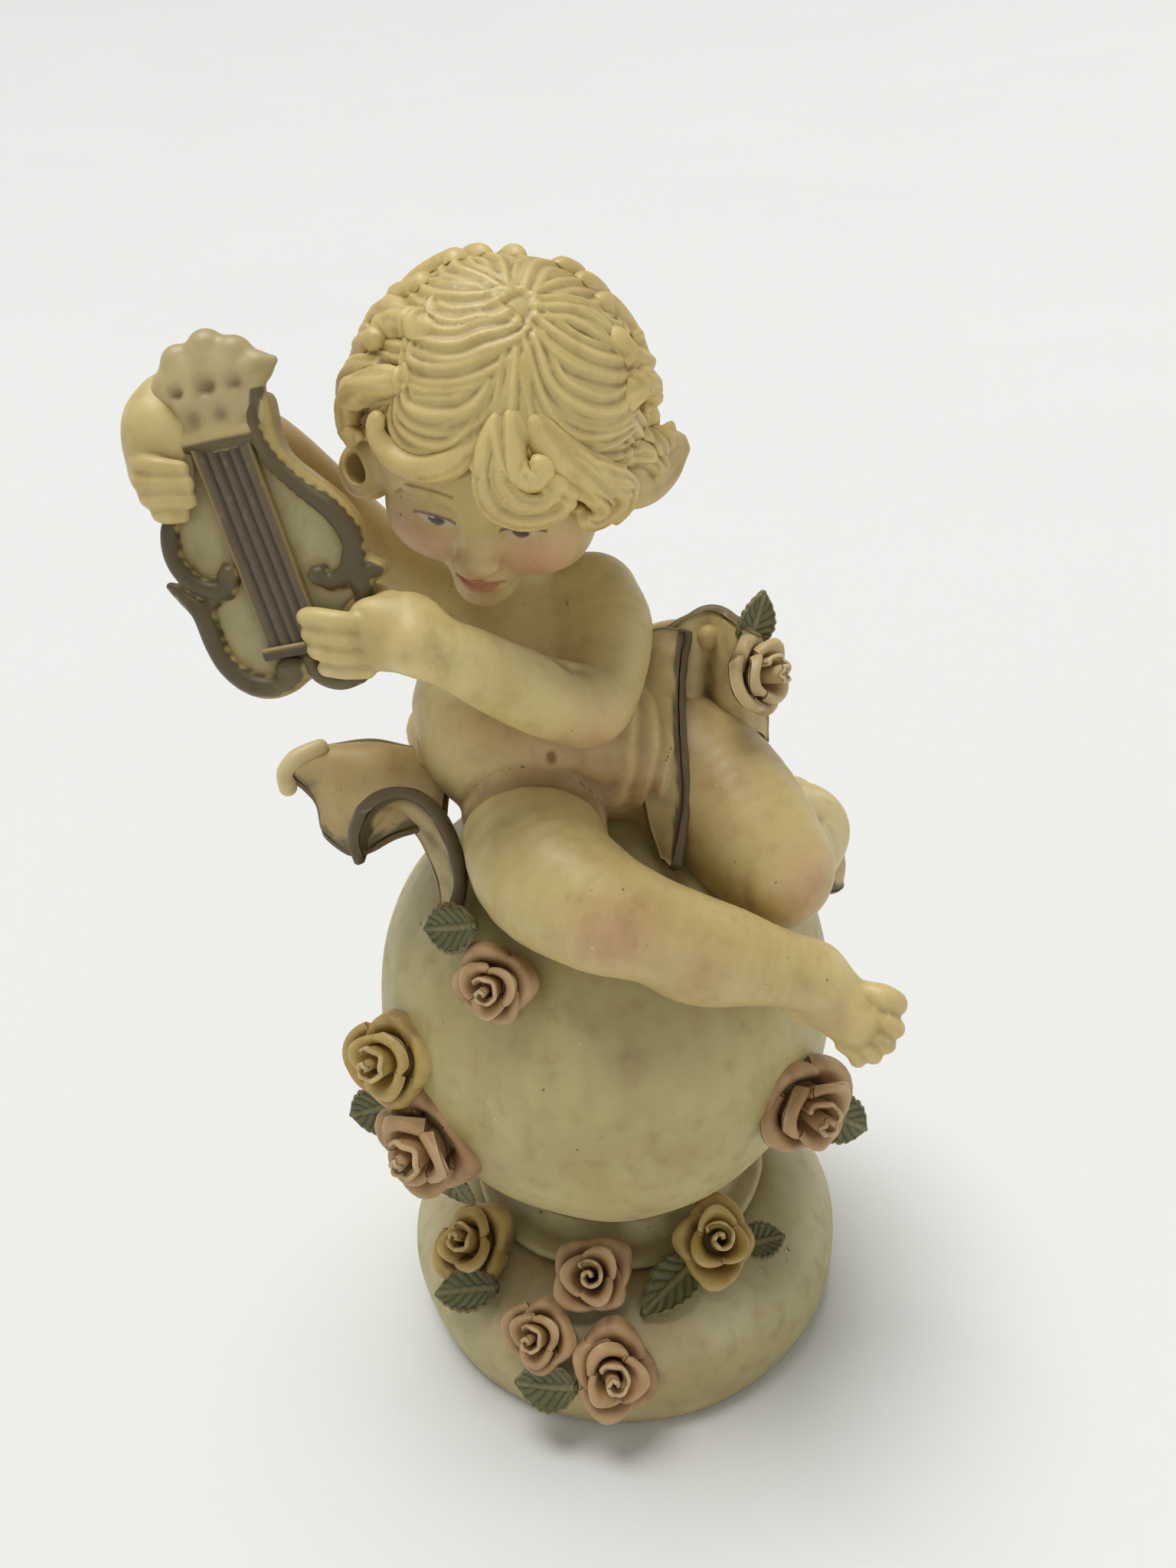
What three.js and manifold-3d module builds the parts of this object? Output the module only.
// Cherub with a lyre, seated on a globe above a round pedestal, trimmed with roses and leaves.
// Millimetres, +Z up. The origin is the centre of the flat underside of the base; the front faces -Y.
import * as THREE from "three";
import { mergeVertices } from "three/addons/utils/BufferGeometryUtils.js";
import Module from "manifold-3d";

const wasm = await Module();
wasm.setup();

// ---- driving dimensions ----
const GAP = 0.3; // clear space kept between touching pieces
const BASE_RADIUS = 36.2; // widest ring of the base
const BASE_WIDEST_HEIGHT = 9;
const BASE_FOOT_RADIUS = 33.5; // flat underside
const BASE_TOP_HEIGHT = 20.5; // where the dome meets the collar
const COLLAR_RADIUS = 23.5; // ledge at the foot of the collar
const COLLAR_WAIST_RADIUS = 19;
const GLOBE_RADIUS = 35;
const GLOBE_CENTRE = [0, 0, 57];
const SEAT_HEIGHT = GLOBE_CENTRE[2] + GLOBE_RADIUS; // top of the globe
const ROUND_SIDES = 28;

const LYRE_CENTRE = [-34.9, -20, 135.8];
const LYRE_RIGHT = [0.967, -0.047, 0.251]; // across the strings
const LYRE_UP = [-0.234, 0.229, 0.945]; // along the strings
const LYRE_THICKNESS = 4;
const PANEL_WIDTH = 6.6;
const PANEL_HEIGHT = 23;

// ---- colours ----
const CREAM = 0xd8cba6;
const SKIN = 0xe0cfae;
const HAIR = 0xcdb98b;
const OCHRE = 0xb99a55;
const UMBER = 0x5b4a3a;
const PINK = 0xc39c86;
const YELLOW = 0xd0a24a;
const GREEN = 0x6a6a3c;

const object = new THREE.Group();

// ---- solids ----
function solidOf(geometry) {
  const bare = geometry.index ? geometry.toNonIndexed() : geometry.clone();
  bare.deleteAttribute("normal");
  bare.deleteAttribute("uv");
  const merged = mergeVertices(bare, 1e-4);
  const corners = merged.index.array;
  const kept = [];
  for (let i = 0; i < corners.length; i += 3) {
    const [a, b, c] = [corners[i], corners[i + 1], corners[i + 2]];
    if (a !== b && b !== c && a !== c) kept.push(a, b, c);
  }
  const mesh = new wasm.Mesh({
    numProp: 3,
    vertProperties: merged.attributes.position.array,
    triVerts: new Uint32Array(kept),
  });
  return new wasm.Manifold(mesh);
}

function geometryOf(solid) {
  const mesh = solid.getMesh();
  const geometry = new THREE.BufferGeometry();
  geometry.setAttribute("position", new THREE.BufferAttribute(mesh.vertProperties, 3));
  geometry.setIndex(new THREE.BufferAttribute(mesh.triVerts, 1));
  geometry.computeVertexNormals();
  return geometry;
}

function join(solids) {
  return solids.reduce((whole, next) => whole.add(next));
}

function carve(solid, cutters) {
  return cutters.reduce((rest, cutter) => rest.subtract(cutter), solid);
}

// The largest body left after a cut; chips sliced off by a neighbour are dropped.
function mainBody(solid) {
  return solid.decompose().sort((a, b) => b.volume() - a.volume())[0];
}

function add(name, solid, color, roughness = 0.55) {
  const material = new THREE.MeshStandardMaterial({ color, roughness, metalness: 0 });
  const mesh = new THREE.Mesh(geometryOf(mainBody(solid)), material);
  mesh.name = name;
  object.add(mesh);
}

function ellipsoid(centre, radii, grow = 0, sides = 12) {
  const geometry = new THREE.SphereGeometry(1, sides, Math.round(sides * 0.6));
  geometry.scale(radii[0] + grow, radii[1] + grow, radii[2] + grow);
  return solidOf(geometry.translate(...centre));
}

// A rounded limb: a round-ended lathe whose rings are set along a curve through the points.
function limb(points, radii, grow = 0, sides = 10) {
  const curve = new THREE.CatmullRomCurve3(points.map((point) => new THREE.Vector3(...point)));
  const steps = (points.length - 1) * 2;
  const rings = [];
  for (let step = 0; step <= steps; step += 1) {
    const place = (step / steps) * (points.length - 1);
    const before = Math.min(Math.floor(place), points.length - 2);
    const radius = THREE.MathUtils.lerp(radii[before], radii[before + 1], place - before) + grow;
    rings.push({ at: step / steps, radius, shift: 0 });
  }
  const [first, last] = [rings[0], rings[steps]];
  const slant = Math.SQRT1_2;
  rings.unshift({ at: 0, radius: first.radius * slant, shift: -first.radius * slant });
  rings.unshift({ at: 0, radius: 0, shift: -first.radius });
  rings.push({ at: 1, radius: last.radius * slant, shift: last.radius * slant });
  rings.push({ at: 1, radius: 0, shift: last.radius });
  const geometry = new THREE.LatheGeometry(rings.map((r) => new THREE.Vector2(r.radius, r.shift)), sides);
  setAlong(geometry.attributes.position, curve, rings);
  return solidOf(geometry);
}

// Moves each ring of a lathe from the Y axis to its place on the curve, without twisting it.
function setAlong(vertices, curve, rings) {
  let side = new THREE.Vector3(0.3, 0.2, 1);
  const frames = rings.map(({ at }) => {
    const along = curve.getTangent(at);
    side = side.clone().addScaledVector(along, -side.dot(along)).normalize();
    return { centre: curve.getPoint(at), along, side, across: new THREE.Vector3().crossVectors(side, along) };
  });
  for (let i = 0; i < vertices.count; i += 1) {
    const { centre, along, side: out, across } = frames[i % rings.length];
    const spot = centre.clone().addScaledVector(out, vertices.getX(i));
    spot.addScaledVector(along, vertices.getY(i)).addScaledVector(across, vertices.getZ(i));
    vertices.setXYZ(i, spot.x, spot.y, spot.z);
  }
}

function turned(profile) {
  const outline = profile.map(([radius, height]) => new THREE.Vector2(radius, height));
  const geometry = new THREE.LatheGeometry(outline, ROUND_SIDES);
  return solidOf(geometry.rotateX(Math.PI / 2));
}

// A matrix whose columns are the local right, up and facing directions.
function frameAt(centre, right, up) {
  const x = new THREE.Vector3(...right).normalize();
  const z = new THREE.Vector3().crossVectors(x, new THREE.Vector3(...up)).normalize();
  const y = new THREE.Vector3().crossVectors(z, x);
  return new THREE.Matrix4().makeBasis(x, y, z).setPosition(...centre);
}

function plate(outline, from, thickness, frame, curveSegments = 3) {
  const shape = new THREE.Shape();
  shape.setFromPoints(new THREE.SplineCurve(
    [...outline, outline[0]].map(([u, v]) => new THREE.Vector2(u, v)),
  ).getPoints(outline.length * curveSegments).slice(0, -1));
  const geometry = new THREE.ExtrudeGeometry(shape, { depth: thickness, bevelEnabled: false });
  return solidOf(geometry.translate(0, 0, from).applyMatrix4(frame));
}

// ---- pedestal: base, collar and globe ----
function baseProfile(grow) {
  return [
    [0, -grow],
    [BASE_FOOT_RADIUS + grow, -grow],
    [BASE_FOOT_RADIUS + 1.9 + grow, 3],
    [BASE_RADIUS + grow, BASE_WIDEST_HEIGHT],
    [BASE_RADIUS - 0.9 + grow, 13],
    [BASE_RADIUS - 3.4 + grow * 0.7, 16.6 + grow * 0.7],
    [BASE_RADIUS - 7.5, 19.2 + grow],
    [COLLAR_RADIUS + 1.5, BASE_TOP_HEIGHT + grow],
    [0, BASE_TOP_HEIGHT + grow],
  ];
}
const base = (grow = 0) => turned(baseProfile(grow));
const globe = (grow = 0) => ellipsoid(GLOBE_CENTRE, Array(3).fill(GLOBE_RADIUS), grow, ROUND_SIDES);

function collar(grow = 0) {
  const foot = BASE_TOP_HEIGHT + GAP;
  const profile = [
    [0, foot - grow],
    [COLLAR_RADIUS + grow, foot - grow],
    [COLLAR_RADIUS - 0.4 + grow, foot + 1.6],
    [COLLAR_WAIST_RADIUS + 1 + grow, foot + 2.8],
    [COLLAR_WAIST_RADIUS + grow, foot + 5],
    [COLLAR_WAIST_RADIUS + 1.2 + grow, foot + 7 + grow],
    [0, foot + 7 + grow],
  ];
  return carve(turned(profile), [globe(GAP)]);
}

// ---- cherub ----
function torso(grow = 0) {
  return join([
    ellipsoid([-6, 4, 98], [19, 14.5, 11], grow),
    ellipsoid([-6.5, 2, 107], [18.5, 13, 11], grow),
    ellipsoid([-7, 2, 116], [15.5, 11.5, 9.5], grow),
    limb([[-18, 3, 119], [2, 3, 119.5]], [6, 6], grow),
    limb([[-7, 1, 120], [-8, -2, 127]], [7, 6], grow),
  ]);
}

const RIGHT_LEG = [
  [-8, -7, 97], [-6.7, -24.5, 92.6], [3.8, -30.5, 87.5], [12.6, -31.5, 83], [20, -31, 80],
  [27, -30.5, 77.5], [31, -31.5, 74.8], [34, -32, 72.2],
];
const RIGHT_LEG_RADII = [10.2, 9.4, 6.9, 6.2, 5.2, 4.2, 4.3, 3.8];
const LEFT_THIGH = [[9, 1, 98], [20, -6, 93], [22.6, -13, 89.2], [24.4, -18, 85.6]];
const LEFT_THIGH_RADII = [11, 10, 8.6, 6.9];
const LEFT_SHIN = [[24.4, -17, 85.4], [31, -4, 82], [33, 6, 81], [32, 15, 79.5]];
const LEFT_SHIN_RADII = [6.4, 5.6, 5, 3.8];
const LEFT_ARM = [
  [3, 1, 120], [3.5, -8, 115.3], [1.2, -15, 110.8], [-7.5, -20.5, 115.4], [-14, -25, 121.7],
  [-18.4, -28, 125.4], [-23, -29.5, 126.4],
];
const LEFT_ARM_RADII = [6.2, 5.6, 5.2, 4.8, 4, 3.4, 3.9];
const RIGHT_ARM = [
  [-19, 3, 120], [-29.2, 1, 134.5], [-36, -5, 145.6], [-43.5, -9.5, 148], [-47.3, -13.5, 146.4],
  [-47.5, -18, 142],
];
const RIGHT_ARM_RADII = [6.2, 5.1, 4.6, 4.2, 4.3, 3.2];

const rightLeg = (grow = 0) => limb(RIGHT_LEG, RIGHT_LEG_RADII, grow);
const leftLeg = (grow = 0) =>
  limb(LEFT_THIGH, LEFT_THIGH_RADII, grow).add(limb(LEFT_SHIN, LEFT_SHIN_RADII, grow));
const leftArm = (grow = 0) => limb(LEFT_ARM, LEFT_ARM_RADII, grow);
const rightArm = (grow = 0) => limb(RIGHT_ARM, RIGHT_ARM_RADII, grow);

const head = (grow = 0) => join([
  ellipsoid([-6.2, -4, 147], [16, 16, 16], grow, 16),
  ellipsoid([-9.2, -11.5, 136.4], [12.4, 11.5, 10], grow),
]);

// The cap of hair, open over the face and under the nape.
function hair(grow = 0) {
  const cap = ellipsoid([-6, -2.5, 147], [18.5, 18.5, 18], grow, 18);
  const locks = join([
    limb([[-21, -8, 141], [-25, -8.5, 142.5]], [3.4, 2.6], grow, 8),
    limb([[9, -6, 141.5], [15, -5, 140]], [3.2, 1.8], grow, 8),
    limb([[-8, -22.5, 139.5], [-1, -22.5, 138.5]], [2.6, 2.6], grow, 8),
  ]);
  const face = ellipsoid([-9.5, -25, 127.5], [14.5, 16, 13], -grow);
  return carve(cap.add(locks), [face]);
}

// ---- lyre ----
const lyreFrame = frameAt(LYRE_CENTRE, LYRE_RIGHT, LYRE_UP);
const LYRE_OUTLINE = [
  [-4, 11], [-8.5, 8], [-12, 3.5], [-10.5, -1], [-13, -0.5], [-11.5, -7], [-10, -13.5],
  [-5.5, -16.4], [0.5, -14.6], [6.5, -16.4], [11, -13], [10.5, -8.5], [13.2, -7], [11.5, -2],
  [10.8, 2], [7, 6.5], [5, 11],
];
const CROWN_OUTLINE = [
  [-4, 11.6], [-5.5, 16], [-3.5, 20], [0, 21.6], [3.5, 21.6], [6.6, 19.6], [8.6, 17.4], [6, 13],
  [5, 11.6],
];
const lyreBody = () => plate(LYRE_OUTLINE, -LYRE_THICKNESS / 2, LYRE_THICKNESS, lyreFrame);
const lyreCrown = () => plate(CROWN_OUTLINE, -LYRE_THICKNESS / 2 - 0.8, LYRE_THICKNESS + 2, lyreFrame);

function lyreBlock(width, height, depth, centre) {
  const geometry = new THREE.BoxGeometry(width, height, depth);
  return solidOf(geometry.translate(...centre).applyMatrix4(lyreFrame));
}
const PANEL_FACE = LYRE_THICKNESS / 2 + GAP;
function stringPanel() {
  const grooves = [-2, -0.7, 0.7, 2].map((u) =>
    lyreBlock(0.35, PANEL_HEIGHT - 2, 1, [u, 0, PANEL_FACE + 1.4]));
  return carve(lyreBlock(PANEL_WIDTH, PANEL_HEIGHT, 1.5, [0, -0.3, PANEL_FACE + 0.75]), grooves);
}
const bridge = () => lyreBlock(PANEL_WIDTH + 0.6, 2, 2.4, [0, -13.2, PANEL_FACE + 1.2]);

// ---- drapery: folds of cloth cast as solid ribbons ----
// Outlines are drawn as across and height above the seat, in a plane that leans back by the slope.
function drape(outline, depthAtSeat, thickness, slope) {
  const frame = frameAt([0, depthAtSeat, SEAT_HEIGHT], [1, 0, 0], [0, slope, 1]);
  return plate(outline, -thickness / 2, thickness, frame, 2);
}
const leftFlutter = () => drape([
  [-22, 11], [-32, 11.5], [-41.5, 10.5], [-42.5, 7.5], [-38.5, 5.5], [-37, -2.5],
  [-31.5, -5], [-30, 1], [-24, 3.5], [-19, 6],
], 3, 5, 0);
const leftFold = () => drape([
  [-20, 7.5], [-26.5, 7], [-29.5, 4], [-29.5, -1.5], [-26.5, 2], [-23.5, -2], [-21.5, -7],
  [-17.5, -8.5], [-16, -2],
], -15, 5, 0.6);
const centreTail = () => drape([
  [13.5, 19], [15.5, 17], [15, 10], [13.8, 3], [12.2, -2.5], [10, -2], [9.5, 4], [10.5, 12],
], -20.5, 4, 0.65);
const hipSash = () => drape([
  [11, 8], [12.5, 19], [16, 24.5], [22, 26], [26, 21], [23.5, 13], [18.5, 11], [16, 7],
], 2, 7, 0.1);
const backSwag = () => limb([[-17, 15, 105], [-6, 18.5, 103], [6, 17.5, 105], [16, 13.5, 110]], [3, 4, 4, 3.4]);
const kneeFold = () => limb([[30, -8, 76.5], [34, -3, 74.5], [36, 3, 73]], [2.2, 2.6, 1.6]);

// ---- roses and leaves ----
// A lobed cup of outer petals around a raised bud, as shares of the rose's radius.
const ROSE_SIDES = 10;
const ROSE_PETALS = 5;
const PETAL_LOBE = 0.1;
const ROSE_PROFILE = [
  [0, -0.36], [0.62, -0.32], [0.98, 0.08], [0.86, 0.34], [0.56, 0.16], [0.4, 0.56], [0, 0.62],
];
function rose([centre, facing, radius], grow = 0) {
  const size = radius + grow;
  const outline = ROSE_PROFILE.map(([out, height]) => new THREE.Vector2(out * size, height * size));
  const geometry = new THREE.LatheGeometry(outline, ROSE_SIDES).rotateX(Math.PI / 2);
  const place = geometry.attributes.position;
  for (let i = 0; i < place.count; i += 1) {
    const [x, y] = [place.getX(i), place.getY(i)];
    const lobe = 1 + PETAL_LOBE * Math.cos(ROSE_PETALS * Math.atan2(y, x));
    place.setXY(i, x * lobe, y * lobe);
  }
  const normal = new THREE.Vector3(...facing).normalize();
  const turn = new THREE.Quaternion().setFromUnitVectors(new THREE.Vector3(0, 0, 1), normal);
  return solidOf(geometry.applyQuaternion(turn).translate(...centre));
}

// A pointed leaf from its stalk towards its tip, its face turned to the given side.
function leaf([stalk, tip, facing, width]) {
  const along = new THREE.Vector3().subVectors(new THREE.Vector3(...tip), new THREE.Vector3(...stalk));
  const across = new THREE.Vector3().crossVectors(along, new THREE.Vector3(...facing));
  const length = along.length();
  const frame = frameAt(stalk, across.toArray(), along.toArray());
  const half = width / 2;
  const outline = [
    [0, 0], [half * 0.8, length * 0.22], [half, length * 0.5], [half * 0.6, length * 0.8],
    [0, length], [-half * 0.6, length * 0.8], [-half, length * 0.5], [-half * 0.8, length * 0.22],
  ];
  return plate(outline, -0.6, 1.2, frame, 1);
}

// A place on the globe at the given bearing (0 is the front, positive to the right) and latitude.
function onGlobe(bearing, latitude, rise) {
  const [b, l] = [THREE.MathUtils.degToRad(bearing), THREE.MathUtils.degToRad(latitude)];
  const out = [Math.sin(b) * Math.cos(l), -Math.cos(b) * Math.cos(l), Math.sin(l)];
  return [out.map((part, i) => GLOBE_CENTRE[i] + part * (GLOBE_RADIUS + rise)), out];
}
function globeRose(bearing, latitude, radius, rise = 2.2) {
  const [centre, out] = onGlobe(bearing, latitude, rise);
  return [centre, [out[0], out[1] - 0.35, out[2] + 0.25], radius];
}
function globeLeaf(from, to, width) {
  const [stalk] = onGlobe(...from);
  const [tip, out] = onGlobe(...to);
  return [stalk, tip, out, width];
}

const ROSES = {
  rose_hip: [[23.5, -6, 108.8], [0.75, -0.6, 0.3], 6.2],
  rose_thigh: [[-14.5, -27, 77.5], [-0.3, -0.9, 0.3], 5.6],
  rose_globe_left_upper: globeRose(-57, 7, 6),
  rose_globe_left_lower: globeRose(-51, -13, 6.6),
  rose_globe_right: globeRose(60, -14, 6.4),
  rose_base_left: [[-24.5, -17, 21.5], [-0.35, -0.5, 0.8], 5.8],
  rose_base_centre: [[-5.8, -27, 22.6], [-0.1, -0.6, 0.8], 5.7],
  rose_base_lower_left: [[-14, -31.5, 17], [-0.4, -0.7, 0.6], 5.2],
  rose_base_front: [[-4.2, -35.6, 13.6], [0.1, -0.85, 0.5], 5.6],
  rose_base_right: [[13.6, -22.3, 23.2], [0.1, -0.6, 0.8], 5.8],
};
const LEAVES = {
  leaf_hip: [[22, -5.4, 114.4], [26, -4.4, 120.6], [0.3, -0.9, 0.3], 5],
  leaf_thigh: [[-16.2, -26, 81.6], [-20.5, -24.6, 87.6], [-0.5, -0.8, 0.4], 5],
  leaf_globe_left: globeLeaf([-62, -5, 1.6], [-76, -9, 2.6], 7),
  leaf_globe_left_lower: globeLeaf([-46, -24, 1.6], [-38, -38, 2], 6),
  leaf_globe_right: globeLeaf([68, -18, 1.8], [82, -24, 3.4], 7.5),
  leaf_base_left: [[-24, -21, 20.4], [-22, -28.5, 17.8], [-0.35, -0.5, 0.9], 6.5],
  leaf_base_centre: [[0.5, -28.5, 20.6], [10.5, -27, 20.8], [0, -0.4, 0.9], 7],
  leaf_base_right: [[18.5, -23, 21.6], [26, -21.8, 21], [0.2, -0.4, 0.9], 6],
  leaf_base_front: [[-9, -36.8, 9], [-16.5, -34, 7.4], [-0.4, -0.9, 0.15], 6.5],
};

// ---- assembly: every piece is cut back from its neighbours so that a gap remains ----
add("base_plinth", base(), CREAM);
add("neck_collar", collar(), CREAM);
add("globe", globe(), CREAM);

add("cherub_torso", carve(torso(), [globe(GAP)]), SKIN);
add("cherub_head", carve(head(), [torso(GAP)]), SKIN);
add("cherub_hair", carve(hair(), [head(GAP), torso(GAP)]), HAIR);
const body = [globe(GAP), torso(GAP)];
add("cherub_right_leg", carve(rightLeg(), body), SKIN);
add("cherub_left_leg", carve(leftLeg(), [...body, rightLeg(GAP)]), SKIN);
const crown = [head(GAP), hair(GAP)];
add("cherub_left_arm", carve(leftArm(), [...body, ...crown]), SKIN);
add("cherub_right_arm", carve(rightArm(), [...body, ...crown]), SKIN);

const figure = [...body, rightLeg(GAP), leftLeg(GAP), leftArm(GAP), rightArm(GAP), ...crown];
add("lyre_body", carve(lyreBody(), figure), OCHRE);
add("lyre_crown", carve(lyreCrown(), figure), SKIN);
add("lyre_string_panel", carve(stringPanel(), figure), UMBER);
add("lyre_bridge", carve(bridge(), figure), UMBER);

const flowers = Object.values(ROSES).map((place) => rose(place, GAP));
add("drape_left_flutter", carve(leftFlutter(), figure), OCHRE);
add("drape_left_fold", carve(leftFold(), [...figure, ...flowers]), OCHRE);
add("drape_centre_tail", carve(centreTail(), [...figure, ...flowers]), OCHRE);
add("drape_hip_sash", carve(hipSash(), [...figure, ...flowers]), OCHRE);
add("drape_back_swag", carve(backSwag(), figure), OCHRE);
add("drape_knee_fold", carve(kneeFold(), figure), OCHRE);

const ROSE_COLOURS = { rose_globe_left_upper: YELLOW, rose_base_left: YELLOW, rose_base_right: YELLOW };
const ground = [base(GAP), collar(GAP), ...figure];
Object.entries(ROSES).forEach(([name, place]) => {
  add(name, carve(rose(place), ground), ROSE_COLOURS[name] ?? PINK, 0.5);
});
Object.entries(LEAVES).forEach(([name, place]) => {
  add(name, carve(leaf(place), [...ground, ...flowers]), GREEN, 0.5);
});

export default object;
